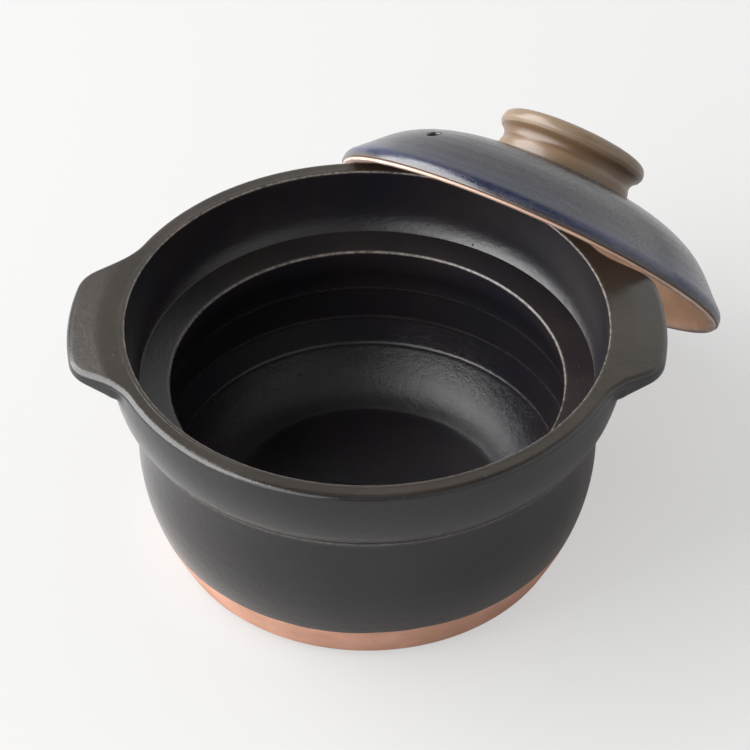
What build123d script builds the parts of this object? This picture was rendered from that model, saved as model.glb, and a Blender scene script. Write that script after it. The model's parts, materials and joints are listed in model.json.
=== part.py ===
from build123d import *
import os
from math import asin, atan, cos, hypot, radians, sin

os.makedirs("parts", exist_ok=True)

# Clay cooking pot with a ledged collar and two ear handles, its domed lid leaning on the rim.
# The origin is the centre of the foot on the table, the handles lie along X, the front is -Y.

# Driving sizes of the pot
pot_height = 111.4
rim_radius = 108.0
wall_thickness = 9.3
floor_thickness = 8.6

# Bowl: how far its outline lies inside the rim, heights as shares of the neck's
body_inset = 10.7
body_widest_share = 0.625
neck_inset = 0.9
lower_wall_inset = 5.0
lower_wall_share = 0.266
foot_inset = 13.5
foot_rounding = 6.0
cove_width = 37.8

# Collar: rim, its inner wall and the ledge that carries the lid
rim_thickness = 8.0
rim_band = 5.0
rim_outer_rounding = 2.4
rim_inner_rounding = 1.0
collar_taper = 4.7
collar_foot_slope = (-0.64, -0.77)
ledge_depth = 31.0
ledge_rise = 1.6
ledge_width = 12.8
ledge_lip_rounding = 1.6
lip_depth = 4.0
lip_undercut = 0.3

# Lower edge of the collar outside, from the neck up: a small bead, a groove and a rounded skirt
neck_below_bead = 5.0
neck_rounding = 4.0
bead_below_ledge = 0.2
bead_proud = 0.9
bead_rounding = 1.1
bead_foot = 1.7
groove_over_bead = 2.2
groove_cut = 3.9
groove_lip = 1.8
groove_rounding = 0.4
skirt_over_groove = 4.1
skirt_inset = 2.9
skirt_rounding = 3.0

# Throwing rings left in the wall of the bowl, from the top one down
ring_height_shares = (0.652, 0.423, 0.235)
low_ring_inset = 4.2
ring_scallop = 0.5
cove_shares = ((0.70, 0.27), (0.40, 0.075))

# Ear handles
ear_projection = 16.0
ear_drop = 1.8
ear_level_run = 3.0
ear_top_rounding = 20.0
ear_tip_thickness = 5.2
ear_root_thickness = 9.6
ear_root_height = 22.0
ear_root_lean = 1.7
ear_cove_rounding = 8.0
ear_tip_half_width = 30.5
ear_root_half_width = 43.0
ear_corner_rounding = 15.0
ear_flare_rounding = 30.0
ear_under_rounding = 2.0
ear_joint_offset = 0.8

# Lid: shell of revolution about its own axis, heights from the edge of the glaze
lid_clearance = 3.7
lid_height = 34.4
lid_wall = 5.5
lid_edge_height = 2.0
lid_outline_shares = ((0.350, 0.956), (0.603, 0.858), (0.813, 0.589), (0.958, 0.224))
hollow_shares = (0.80, 0.60, 0.42, 0.26, 0.12)
ring_inner_slope = (0.5, -2.5)
ring_depth = 1.2
ring_outer_inset = 1.0
ring_width = 2.6
ring_rounding = 0.5
steam_hole_radius = 3.15
steam_hole_share = 0.26
steam_hole_bearing = -119.0

# Knob luted to the crown of the lid, heights over the crown
knob_foot_radius = 31.4
knob_foot_rise = 3.8
knob_waist_radius = 30.6
knob_waist_rise = 6.0
knob_cove_radius = 31.2
knob_cove_rise = 9.0
knob_step_radius = 33.6
knob_step_rise = 11.4
knob_flange_radius = 34.4
knob_flange_rise = 13.2
knob_rise = 18.2
knob_edge_rounding = 3.9
knob_step_rounding = 0.8
knob_dish_radius = 25.0
knob_dish_depth = 3.4
knob_dish_slope = (-3, -1)
knob_dish_rounding = 2.0

# How the lid leans: its bearing, how far up its slope it meets the rim, and how far inside the
# edges of the rim and of the ear the inner edge of its ring crosses them
lid_heading = 31.93
lean_share = 0.6
ring_inside_rim = 1.0
ring_inside_ear = 6.0
table_clearance = 0.2

overrun = 20.0
flat_share = 0.001

# Sizes that follow from the ones above
mouth_radius = rim_radius - rim_thickness
ledge_height = pot_height - ledge_depth
ledge_outer_radius = mouth_radius - collar_taper
ledge_outer_height = ledge_height + ledge_rise
ledge_lip_radius = ledge_outer_radius - ledge_width
undercut_radius = ledge_lip_radius + lip_undercut
undercut_height = ledge_height - lip_depth
bead_height = ledge_height - bead_below_ledge
groove_height = bead_height + groove_over_bead
skirt_height = groove_height + skirt_over_groove
neck_height = bead_height - neck_below_bead
skirt_radius = rim_radius - skirt_inset
groove_radius = skirt_radius - groove_cut
bead_radius = groove_radius + bead_proud
body_radius = rim_radius - body_inset
body_widest_height = neck_height * body_widest_share
neck_radius = body_radius - neck_inset
lower_wall_radius = body_radius - lower_wall_inset
lower_wall_height = neck_height * lower_wall_share
lower_wall_slope = (foot_inset - lower_wall_inset, lower_wall_height)
foot_corner_radius = body_radius - foot_inset
bowl_radius = body_radius - wall_thickness
low_ring_radius = bowl_radius - low_ring_inset
floor_flat_radius = low_ring_radius - cove_width
top_ring_height, middle_ring_height, low_ring_height = [
    floor_thickness + share * (ledge_height - floor_thickness) for share in ring_height_shares
]


def corner(sketch, radius, height):
    """The corner of a section sketch that lies nearest to a radius and a height."""
    return sketch.vertices().sort_by_distance((radius, height, 0))[0]


def reach_of(shape):
    """How far the middle of an edge or face lies from the axis of the pot."""
    middle = shape.position_at(0.5) if isinstance(shape, Edge) else shape.center()
    return Vector(middle.X, middle.Y).length


def scallop(start, end):
    """A stretch of wall between two throwing rings, hollowed a little towards the outside."""
    middle = (Vector(*start) + Vector(*end)) / 2
    outward = (Vector(*start) - Vector(*end)).normalized().rotate(Axis.Z, -90)
    if outward.X < 0:
        outward = -outward
    return ThreePointArc(start, middle + outward * ring_scallop, end)


# Bowl, collar and ledge, turned as one piece
with BuildPart() as vessel:
    with BuildSketch(Plane.YZ) as section:
        with BuildLine():
            Line((0, 0), (foot_corner_radius, 0))
            Spline(
                (foot_corner_radius, 0),
                (lower_wall_radius, lower_wall_height),
                (body_radius, body_widest_height),
                (neck_radius, neck_height),
                tangents=[lower_wall_slope, (0, 1)],
            )
            Polyline(
                (neck_radius, neck_height),
                (bead_radius - bead_foot, bead_height - bead_foot),
                (bead_radius, bead_height),
                (groove_radius, groove_height),
                (groove_radius + groove_lip, groove_height),
                (skirt_radius, skirt_height),
            )
            TangentArc((rim_radius, pot_height - rim_band), (skirt_radius, skirt_height), tangent=(0, -1))
            Polyline(
                (rim_radius, pot_height - rim_band),
                (rim_radius, pot_height),
                (mouth_radius, pot_height),
            )
            Spline(
                (mouth_radius, pot_height),
                (ledge_outer_radius, ledge_outer_height),
                tangents=[(0, -1), collar_foot_slope],
            )
            Polyline(
                (ledge_outer_radius, ledge_outer_height),
                (ledge_lip_radius, ledge_height),
                (undercut_radius, undercut_height),
            )
            Spline(
                (undercut_radius, undercut_height),
                (bowl_radius, top_ring_height),
                tangents=[(lip_undercut, -lip_depth), (0, -1)],
            )
            scallop((bowl_radius, top_ring_height), (bowl_radius, middle_ring_height))
            scallop((bowl_radius, middle_ring_height), (low_ring_radius, low_ring_height))
            Spline(
                (low_ring_radius, low_ring_height),
                *[
                    (
                        floor_flat_radius + across * (low_ring_radius - floor_flat_radius),
                        floor_thickness + up * (low_ring_height - floor_thickness),
                    )
                    for across, up in cove_shares
                ],
                (floor_flat_radius, floor_thickness),
                tangents=[(-1, -2), (-1, 0)],
            )
            Polyline((floor_flat_radius, floor_thickness), (0, floor_thickness), (0, 0))
        make_face()
        fillet(corner(section, foot_corner_radius, 0), foot_rounding)
        fillet(corner(section, neck_radius, neck_height), neck_rounding)
        fillet(corner(section, bead_radius, bead_height), bead_rounding)
        fillet(corner(section, groove_radius, groove_height), groove_rounding)
        fillet(corner(section, skirt_radius, skirt_height), skirt_rounding)
        fillet(corner(section, mouth_radius, pot_height), rim_inner_rounding)
        fillet(corner(section, ledge_lip_radius, ledge_height), ledge_lip_rounding)
    revolve(axis=Axis.Z)

# Both ears as one form: a flange turned about the pot, cut to the outline of two ears
ear_radius = rim_radius + ear_projection
ear_level_radius = rim_radius + ear_level_run
ear_slope = ear_drop / (ear_radius - ear_level_radius)
ear_reach = ear_radius + overrun
ear_reach_height = pot_height - ear_slope * (ear_reach - ear_level_radius)
ear_tip_under = pot_height - ear_drop - ear_tip_thickness
ear_root_x = (rim_radius**2 - ear_root_half_width**2) ** 0.5
ear_tip_x = (ear_radius**2 - ear_tip_half_width**2) ** 0.5
ear_side_slope = (ear_root_half_width - ear_tip_half_width) / (ear_tip_x - ear_root_x)
ear_inner_x = ear_root_x - overrun
ear_inner_half_width = ear_root_half_width + ear_side_slope * overrun
ear_reach_half_width = ear_tip_half_width - ear_side_slope * (ear_reach - ear_tip_x)
ear_root_radius = rim_radius - rim_thickness / 2
with BuildPart() as ears:
    with BuildSketch(Plane.YZ) as flange:
        with BuildLine():
            Polyline(
                (ear_root_radius, pot_height),
                (ear_level_radius, pot_height),
                (ear_reach, ear_reach_height),
                (ear_reach, ear_tip_under),
                (ear_radius, ear_tip_under),
                (rim_radius, pot_height - ear_root_thickness),
                (rim_radius - ear_root_lean, pot_height - ear_root_height),
                (ear_root_radius, pot_height - ear_root_height),
                close=True,
            )
        make_face()
        fillet(corner(flange, ear_level_radius, pot_height), ear_top_rounding)
        fillet(corner(flange, rim_radius, pot_height - ear_root_thickness), ear_cove_rounding)
    revolve(axis=Axis.Z)
    with BuildSketch(Plane.XY.offset(pot_height)) as outline:
        for side in (1, -1):
            with BuildLine():
                Polyline(
                    (side * ear_inner_x, ear_inner_half_width),
                    (side * ear_reach, ear_reach_half_width),
                    (side * ear_reach, -ear_reach_half_width),
                    (side * ear_inner_x, -ear_inner_half_width),
                    close=True,
                )
            make_face()
        Circle(ear_radius, mode=Mode.INTERSECT)
        Circle(rim_radius)
        fillet(outline.vertices().group_by(lambda v: abs(v.X))[-1], ear_corner_rounding)
        fillet(outline.vertices().group_by(lambda v: abs(v.X))[0], ear_flare_rounding)
        flare_x = min(abs(v.X) for v in outline.vertices())
        Rectangle(2 * flare_x, 2 * ear_reach, mode=Mode.SUBTRACT)
    extrude(amount=-ear_root_height - overrun, mode=Mode.INTERSECT)
    rim_edges = ears.edges().filter_by(Axis.Z, reverse=True).filter_by(lambda edge: reach_of(edge) > rim_radius)
    middle_height = pot_height - ear_drop - ear_tip_thickness / 2
    fillet(rim_edges.filter_by(lambda edge: edge.center().Z < middle_height), ear_under_rounding)

# Pot and ears in one form, so that one rounding runs along the rim and round both ears
with BuildPart() as joined:
    add(vessel.part)
    add(ears.part)
    upright = joined.faces().filter_by(lambda face: abs(face.normal_at().Z) < flat_share)
    walls = upright.filter_by(lambda face: reach_of(face) > ear_root_radius)
    outer_edges = walls.edges().filter_by(Axis.Z, reverse=True)
    band_height = pot_height - (rim_band + ear_drop) / 2
    fillet(outer_edges.filter_by(lambda edge: edge.center().Z > band_height), rim_outer_rounding)

# The ears are luted to the rim: what lies inside the joint stays with the pot as their roots
joint_radius = rim_radius + ear_joint_offset
with BuildPart() as joint_core:
    with BuildSketch(Plane.XY.offset(-overrun)):
        Circle(joint_radius)
    extrude(amount=pot_height + 2 * overrun)

with BuildPart() as pot_body:
    add(joined.part)
    add(joint_core.part, mode=Mode.INTERSECT)
pot_body.part.label = "pot_body"
export_step(pot_body.part, "parts/pot_body.step")

with BuildPart() as handles:
    add(joined.part)
    add(joint_core.part, mode=Mode.SUBTRACT)

with BuildPart() as handle_right:
    add(handles.solids().sort_by(Axis.X)[-1])
handle_right.part.label = "handle_right"
export_step(handle_right.part, "parts/handle_right.step")

with BuildPart() as handle_left:
    add(handles.solids().sort_by(Axis.X)[0])
handle_left.part.label = "handle_left"
export_step(handle_left.part, "parts/handle_left.step")

# The lid leans with its edge on the table. Its ring crosses the edge of the rim on one side and of
# the ear on the other, which settles its tilt and its place over the table.
lid_radius = ledge_outer_radius - lid_clearance
ring_outer_radius = lid_radius - ring_outer_inset
ring_inner_radius = ring_outer_radius - ring_width
touch_rise = lean_share * ring_inner_radius
touch_half_span = (ring_inner_radius**2 - touch_rise**2) ** 0.5
slope_run = lid_radius - ring_rounding + touch_rise
slope_offset = ring_rounding + ring_depth
touch_height = pot_height - table_clearance - ring_rounding
tilt = asin(touch_height / hypot(slope_run, slope_offset)) + atan(slope_offset / slope_run)
heading = radians(lid_heading)
lid_outward = Vector(sin(heading), cos(heading), 0)
lid_across = Vector(cos(heading), -sin(heading), 0)
lid_axis = lid_outward * sin(tilt) + Vector(0, 0, cos(tilt))
rim_touch_radius = rim_radius - ring_inside_rim
ear_touch_radius = ear_radius - ring_inside_ear
touch_aside = (ear_touch_radius**2 - rim_touch_radius**2) / (4 * touch_half_span)
touch_out = (rim_touch_radius**2 - (touch_aside - touch_half_span) ** 2) ** 0.5
centre_out = touch_out + touch_rise * cos(tilt) + ring_depth * sin(tilt)
lid_reach = (lid_radius - ring_rounding) * sin(tilt) + ring_rounding * (1 - cos(tilt))
lid_centre = lid_across * touch_aside + lid_outward * centre_out + Vector(0, 0, lid_reach + table_clearance)
lid_seat = Plane(lid_centre, x_dir=lid_across, z_dir=lid_axis)
lid_section = Plane(lid_centre, x_dir=lid_across, z_dir=-lid_seat.y_dir)
lid_turning = Axis(lid_centre, lid_axis)


def in_wall(outline, share, depth):
    """A point at a share of an outline's length, moved by a depth into the wall on its left."""
    along = outline % share
    return outline @ share + Vector(-along.Y, along.X) * depth


# Lid: a domed shell with a thick edge, its ring left bare of glaze below that edge
with BuildPart() as lid_shell:
    with BuildSketch(lid_section) as section:
        with BuildLine():
            dome = Spline(
                (lid_radius, lid_edge_height),
                *[(out * lid_radius, up * lid_height) for out, up in reversed(lid_outline_shares)],
                (0, lid_height),
                tangents=[(0, 1), (-1, 0)],
            )
            Line((0, lid_height), (0, lid_height - lid_wall))
            Spline(
                (0, lid_height - lid_wall),
                *[in_wall(dome, share, lid_wall) for share in hollow_shares],
                (ring_inner_radius, -ring_depth),
                tangents=[(1, 0), ring_inner_slope],
            )
            Polyline(
                (ring_inner_radius, -ring_depth),
                (ring_outer_radius, -ring_depth),
                (ring_outer_radius, 0),
                (lid_radius, 0),
                (lid_radius, lid_edge_height),
            )
        make_face()
        fillet(corner(section, ring_inner_radius, -ring_depth), ring_rounding)
        fillet(corner(section, ring_outer_radius, -ring_depth), ring_rounding)
        fillet(corner(section, lid_radius, 0), ring_rounding)
    revolve(axis=lid_turning)
    bearing = radians(steam_hole_bearing)
    hole_point = dome @ steam_hole_share
    hole_along = dome % steam_hole_share
    hole_place = lid_seat.from_local_coords(
        Vector(hole_point.X * cos(bearing), hole_point.X * sin(bearing), hole_point.Y)
    )
    hole_end = lid_seat.from_local_coords(
        Vector(
            (hole_point.X + hole_along.Y) * cos(bearing),
            (hole_point.X + hole_along.Y) * sin(bearing),
            hole_point.Y - hole_along.X,
        )
    )
    with BuildSketch(Plane(hole_place, z_dir=hole_end - hole_place)):
        Circle(steam_hole_radius)
    extrude(amount=overrun, both=True, mode=Mode.SUBTRACT)
lid_shell.part.label = "lid_shell"
export_step(lid_shell.part, "parts/lid_shell.step")

# Knob: a turned foot with a waist and a thick flange, its top dished a little
knob_base = lid_height - lid_wall / 2
knob_foot_height = lid_height + knob_foot_rise
knob_waist_height = lid_height + knob_waist_rise
knob_cove_height = lid_height + knob_cove_rise
knob_step_height = lid_height + knob_step_rise
knob_flange_height = lid_height + knob_flange_rise
knob_height = lid_height + knob_rise
with BuildPart() as lid_knob:
    with BuildSketch(lid_section) as section:
        with BuildLine():
            Polyline(
                (0, knob_base),
                (knob_foot_radius, knob_base),
                (knob_foot_radius, knob_foot_height),
                (knob_waist_radius, knob_waist_height),
            )
            ThreePointArc(
                (knob_waist_radius, knob_waist_height),
                (knob_cove_radius, knob_cove_height),
                (knob_step_radius, knob_step_height),
            )
            Polyline(
                (knob_step_radius, knob_step_height),
                (knob_flange_radius, knob_flange_height),
                (knob_flange_radius, knob_height),
                (knob_dish_radius, knob_height),
            )
            Spline(
                (knob_dish_radius, knob_height),
                (0, knob_height - knob_dish_depth),
                tangents=[knob_dish_slope, (-1, 0)],
            )
            Line((0, knob_height - knob_dish_depth), (0, knob_base))
        make_face()
        fillet(corner(section, knob_flange_radius, knob_height), knob_edge_rounding)
        fillet(corner(section, knob_dish_radius, knob_height), knob_dish_rounding)
        fillet(corner(section, knob_step_radius, knob_step_height), knob_step_rounding)
    revolve(axis=lid_turning)
    add(lid_shell.part, mode=Mode.SUBTRACT)
lid_knob.part.label = "lid_knob"
export_step(lid_knob.part, "parts/lid_knob.step")
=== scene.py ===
import json
from math import atan2, cos, pi, radians, sin, sqrt, tan

import bmesh
import bpy
import numpy as np
from mathutils import Matrix, Vector


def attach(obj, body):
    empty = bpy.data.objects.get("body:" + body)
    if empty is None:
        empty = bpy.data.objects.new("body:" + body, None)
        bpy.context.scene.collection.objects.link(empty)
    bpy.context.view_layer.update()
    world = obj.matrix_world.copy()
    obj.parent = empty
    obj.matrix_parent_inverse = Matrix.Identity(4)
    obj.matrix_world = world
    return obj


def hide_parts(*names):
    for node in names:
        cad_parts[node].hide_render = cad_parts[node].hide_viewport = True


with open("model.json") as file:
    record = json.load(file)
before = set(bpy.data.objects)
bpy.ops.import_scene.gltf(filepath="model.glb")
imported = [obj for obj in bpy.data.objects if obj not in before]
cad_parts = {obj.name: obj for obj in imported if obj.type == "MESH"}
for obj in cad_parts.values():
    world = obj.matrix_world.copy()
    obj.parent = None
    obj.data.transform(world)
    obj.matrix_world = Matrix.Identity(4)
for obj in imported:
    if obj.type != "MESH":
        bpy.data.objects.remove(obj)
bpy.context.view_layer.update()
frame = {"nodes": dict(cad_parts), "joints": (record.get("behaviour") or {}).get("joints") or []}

# Clay cooking pot with a leaning lid. Sizes are in millimetres, turned into metres when a mesh is made.
MM = 0.001

# Bowl of the pot
pot_height = 111.4
body_radius = 97.3
body_widest_height = 47.0
foot_corner_radius = 83.8
foot_rounding = 6.0
lower_wall_radius = 92.3
lower_wall_height = 20.0
neck_radius = 96.4
neck_height = 75.2
wall_thickness = 9.3
floor_thickness = 7.6
floor_flat_radius = 60.0

# Collar: rim, its inner wall and the ledge that carries the lid
rim_radius = 108.0
rim_thickness = 8.0
rim_band = 5.0
rim_outer_rounding = 2.4
rim_inner_rounding = 1.0
ledge_height = 80.4
ledge_rise = 1.6
ledge_lip_radius = 82.5
ledge_width = 12.8
ledge_lip_rounding = 1.6
ledge_corner_rounding = 0.5
collar_foot_slope = (0.64, 0.77)
lip_depth = 4.0
lip_undercut = 0.3

# Lower edge of the collar outside: rounded skirt, a groove and a small bead
skirt_radius = 105.1
skirt_height = 86.5
skirt_rounding = 3.0
groove_radius = 101.2
groove_height = 82.4
groove_lip = 1.8
groove_rounding = 0.4
bead_radius = 102.1
bead_height = 80.2
bead_rounding = 1.1
bead_foot = 1.7
neck_rounding = 4.0

# Throwing rings in the wall of the bowl, from the top one down
ring_heights = (55.4, 39.0, 27.4)
low_ring_inset = 5.2
ring_scallops = (0.5, 0.12)
ring_ridge = 0.3
ring_ridge_width = 0.55

# Cove at the floor of the bowl: points between the floor and the lowest ring, and its directions at both ends
cove_shares = ((0.482, 0.268), (0.285, 0.126))
cove_start = (1, 0.42)
cove_end = (1, 1.6)

# Relief left by throwing: distance between the ridges, their height, and the heights between which they run
ridge_spacing = 6.0
ridge_inside, ridge_outside = 0.045, 0.01
fine_ridge_spacing = 1.9
fine_ridge = 0.018
ridged_inside = (41.0, 74.0)
ridged_outside = (8.0, 74.0)

# Worn edges, lighter as wear with a painted highlight on their roundings, and painted highlights on the bead
# and on the crests of the throwing rings: where each lies and how far it reaches, and its strength where it
# isn't 1
mouth_wear_and_highlight_inset, mouth_wear_and_highlight_reach = 0.3, 0.42
lip_wear_and_highlight_place, lip_wear_and_highlight_reach = (0.45, -0.4), 0.45
bead_highlight, bead_highlight_reach = 0.35, 0.7
ring_highlight = 0.1
outer_wear_and_highlight, outer_wear_and_highlight_rows = 0.05, 1.6
ledge_brown = 0.2

# Ear handles
ear_radius = 124.0
ear_drop = 1.8
ear_level_run = 3.0
ear_top_rounding = 20.0
ear_tip_thickness = 5.2
ear_root_thickness = 9.6
ear_root_height = 22.0
ear_root_lean = 1.7
ear_tip_half_width = 30.5
ear_root_half_width = 43.0
ear_corner_rounding = 15.0
ear_flare_rounding = 30.0
ear_under_rounding = 2.0
ear_cove_rounding = 8.0
ear_cove_share = 0.7
ear_blend = 4.0

# Sections round the pot, in degrees: their spacing, and half the width of the finer fan at each ear
plain_step = 1.25
ear_step = 0.5
ear_fan = 32.0

# Points on a section: on each run of the rim's edge from its flat top to the collar, and on each scallop
edge_counts = (14, 9, 6, 7, 10, 14, 8)
scallop_count = 42

# Lid, about its own axis, heights from the lower edge of its glaze
lid_radius = 91.6
lid_height = 34.4
lid_wall = 5.5
lid_edge_height = 2.0
lid_outline_shares = ((0.350, 0.956), (0.603, 0.858), (0.813, 0.589), (0.958, 0.224))
hollow_shares = (0.80, 0.60, 0.42, 0.26, 0.12)
ring_depth = 1.2
ring_outer_inset = 1.0
ring_width = 2.6
ring_rounding = 0.5
lid_ridge, lid_ridge_spacing = 0.04, 3.5
lid_columns = 360

# Lid's glaze: its lap over the ring's outer face and its fading, and how far back the bare ring's middle lies
lid_glaze_lap = 0.6
lid_glaze_fade = (-0.2, 0.3)
bare_ring_back, bare_ring_reach = 2.2, 2.0

# Steam hole, and its lip: rings with the share of the square's spread that is left, how much wider than the
# hole they are, and how deep they lie
steam_hole_radius = 3.15
steam_hole_share = 0.26
steam_hole_bearing = -119.0
hole_cells = 5
hole_profile = (
    (0.5, 1.2, 0.0), (0, 1.2, 0.0), (0, 0.7, 0.03), (0, 0.35, 0.15), (0, 0.1, 0.4), (0, 0, 0.9), (0, 0, 2.0)
)

# Knob, heights from the lower edge of the lid's glaze
knob_outline = ((31.4, 38.2), (30.6, 40.4), (31.2, 43.4), (33.6, 45.8), (34.4, 47.6))
knob_height = 52.6
knob_edge_rounding = 3.9
knob_dish_radius = 25.0
knob_dish_depth = 3.4
knob_dish_rounding = 2.0
knob_step_rounding = 0.8
knob_ridge_share, knob_ridge_spacing = 0.0012, 2.5
knob_columns = 240

# Camera: fitted to the ellipses of the rim, the ledge and the lid
image_size = 750
focal_pixels = 3000.0
sensor_width = 36.0
camera_pitch = radians(41.1085)
camera_distance = 1.258908
camera_target = Vector((0.0032465, 0.0, 0.0804724))

# Floor: its colour, and what share of a glow the camera sees in it
floor_reach = 6000
floor_colour = (0.44, 0.437, 0.434)
floor_glow = (0.885, 0.88, 0.875)
floor_glow_share = 0.58

# World: its levels from the dark to the bright side, and how dim it is overhead
world_bright_side = (0.9, 0.45, 0.0)
world_side_span = (-0.5, 0.9)
world_levels = (0.2, 1.35)
world_overhead_span = (0.6, 0.9)
world_overhead_share = 0.2

# Panels of light: name, bearing, elevation, distance, size and radiance
panel_aim = Vector((0, 0, 0.08))
panels = (
    ("window", 92, 30, 3.0, (4.4, 3.4), 8.2),
    ("window_front", 37, 22, 3.0, (1.95, 2.3), 3.6),
    ("window_back", 141, 44, 3.0, (1.3, 1.7), 2.2),
    ("ceiling", 0, 78, 3.0, (1.8, 1.5), 0.45),
)

# Colours as they look on screen, from 0 to 255. A noise mixes the two colours of a pair.
glaze_outside = ((18, 17, 18), (24, 22, 22))
glaze_inside = ((22, 21, 27), (31, 27, 28))
glaze_on_top = ((33, 28, 23), (40, 34, 28))
# Lighter edges: real wear with a painted highlight on the roundings; on the bead and the ring crests only a
# painted highlight
glaze_worn_and_highlight = ((112, 106, 100), (124, 113, 106))
glaze_pore = (6, 6, 7)
foot_clay = ((157, 114, 93), (176, 131, 110))
foot_speck = (150, 108, 90)
lid_dark = ((18, 18, 24), (27, 27, 32))
lid_navy = ((18, 24, 48), (34, 43, 76))
lid_streak = (84, 88, 104)
lid_speck = (12, 13, 18)
lid_edge = (52, 44, 42)
lid_hollow = ((176, 136, 106), (192, 152, 122))
lid_ring = ((200, 182, 174), (182, 152, 140))
# Painted shade on the bare ring where it rests against the pot's rim
lid_ring_shade = (104, 80, 72)
knob_rings = ((99, 81, 63), (113, 95, 76))
# Painted shade in the hollow of the knob's waist
knob_waist_shade = (92, 70, 50)
knob_foot = (112, 91, 71)

# Relief of the glazes, in metres
wave_depth = 0.00013
grain_depth = 0.00009
pore_depth = 0.0003
clay_depth = 0.00016
streak_depth = 0.0001
speck_depth = 0.00004
lid_grain_depth = 0.00006
knob_ring_depth = 0.00006
knob_grain_depth = 0.00004

# Places in a material, in metres: where something starts and where it is full, and where the dark glaze ends
cove_span = (0.022, 0.015)
low_wall_start, low_wall_end = (0.014, 0.017), (0.0276, 0.0266)
glaze_end, glaze_end_waver = 0.0185, 0.005
glaze_end_span = (0.0002, -0.0002)
lid_blue_span = (0.016, 0.004)
lid_edge_span = (0.0024, 0.0008)
# Painted shade on the bare ring: where it starts and where it ends, across the lid
ring_shade_start, ring_shade_end = (-0.035, 0.01), (0.085, 0.065)
# Painted shade in the knob's waist: the radius where it starts and where it is full
knob_waist_shade_span = (0.0335, 0.0315)
knob_foot_span = (0.0405, 0.0388)

# Sizes that follow from others
mouth_radius = rim_radius - rim_thickness
bowl_radius = body_radius - wall_thickness
ledge_outer_radius = ledge_lip_radius + ledge_width
low_ring_radius = bowl_radius - low_ring_inset
join_height = pot_height - ear_root_height


# Curves in a plane, as arrays of points

# A rounding takes at most this share of the run on either side of its corner
largest_cut = 0.48


def line(*corners, step=1.5):
    """Points along straight runs, about a step apart."""
    points = [corners[0]]
    for start, end in zip(corners, corners[1:]):
        way = np.array(end) - np.array(start)
        count = max(1, round(float(np.hypot(*way)) / step))
        points += [tuple(np.array(start) + way * (i + 1) / count) for i in range(count)]
    return np.array(points, float)


def curve(knots, start, end, step=1.2):
    """A smooth curve through knots, with its directions at both ends."""
    knots = np.array(knots, float)
    spans = np.hypot(*np.diff(knots, axis=0).T)
    start = np.array(start, float) / np.hypot(*start)
    end = np.array(end, float) / np.hypot(*end)
    size = len(knots)
    matrix = np.zeros((size, size))
    right = np.zeros((size, 2))
    matrix[0, 0] = matrix[-1, -1] = 1
    right[0], right[-1] = start, end
    for i in range(1, size - 1):
        before, after = spans[i - 1], spans[i]
        matrix[i, i - 1 : i + 2] = (after, 2 * (before + after), before)
        right[i] = 3 * (
            after * (knots[i] - knots[i - 1]) / before + before * (knots[i + 1] - knots[i]) / after
        )
    slopes = np.linalg.solve(matrix, right)
    points = [knots[0]]
    for i, span in enumerate(spans):
        for t in np.linspace(0, 1, max(3, round(span / step)) + 1)[1:]:
            points.append(
                (2 * t**3 - 3 * t**2 + 1) * knots[i]
                + (t**3 - 2 * t**2 + t) * span * slopes[i]
                + (3 * t**2 - 2 * t**3) * knots[i + 1]
                + (t**3 - t**2) * span * slopes[i + 1]
            )
    return np.array(points)


def arc(start, middle, end, count=8):
    """Points on the circle through three points."""
    (ax, ay), (bx, by), (cx, cy) = start, middle, end
    d = 2 * (ax * (by - cy) + bx * (cy - ay) + cx * (ay - by))
    ux = ((ax**2 + ay**2) * (by - cy) + (bx**2 + by**2) * (cy - ay) + (cx**2 + cy**2) * (ay - by)) / d
    uy = ((ax**2 + ay**2) * (cx - bx) + (bx**2 + by**2) * (ax - cx) + (cx**2 + cy**2) * (bx - ax)) / d
    first = atan2(ay - uy, ax - ux)
    turn = (atan2(cy - uy, cx - ux) - first + pi) % (2 * pi) - pi
    radius = np.hypot(ax - ux, ay - uy)
    angles = first + turn * np.linspace(0, 1, count)
    return np.stack([ux + radius * np.cos(angles), uy + radius * np.sin(angles)], axis=1)


def lengths(points):
    """How far along its curve each point lies."""
    return np.concatenate([[0], np.cumsum(np.hypot(*np.diff(points, axis=0).T))])


def at_length(points, where):
    """The point at a length along a curve."""
    along = lengths(points)
    return np.array([np.interp(where, along, points[:, 0]), np.interp(where, along, points[:, 1])])


def normal_at(points, where, reach=0.2):
    """The unit normal of a curve at a length along it, to the left of its course."""
    ahead = at_length(points, where + reach) - at_length(points, where - reach)
    return np.array([-ahead[1], ahead[0]]) / np.hypot(*ahead)


def trimmed(points, start, end):
    """A curve without a length at its start and at its end."""
    along = lengths(points)
    inside = (along > start + 0.05) & (along < along[-1] - end - 0.05)
    first = at_length(points, start)
    last = at_length(points, along[-1] - end)
    return np.vstack([first, points[inside], last])


def direction(points, at_end):
    """The direction of a curve at its start or its end."""
    step = points[-1] - points[-2] if at_end else points[1] - points[0]
    return step / np.hypot(*step)


def chain(*parts, count=9):
    """Joins curves end to end. A number between two of them is the rounding of that corner."""
    result = parts[0]
    rounding = 0
    for part in parts[1:]:
        if isinstance(part, (int, float)):
            rounding = part
            continue
        if rounding:
            before, after = direction(result, True), direction(part, False)
            turn = np.arccos(np.clip(before @ after, -1, 1))
            longest = largest_cut * min(lengths(result)[-1], lengths(part)[-1])
            cut = min(rounding * tan(turn / 2), longest)
            corner = part[0]
            result, part = trimmed(result, 0, cut), trimmed(part, cut, 0)
            result = np.vstack([result, bend(result[-1], corner, part[0], turn, count - 1), part[1:]])
        else:
            result = np.vstack([result, part[1:]])
        rounding = 0
    return result


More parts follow.
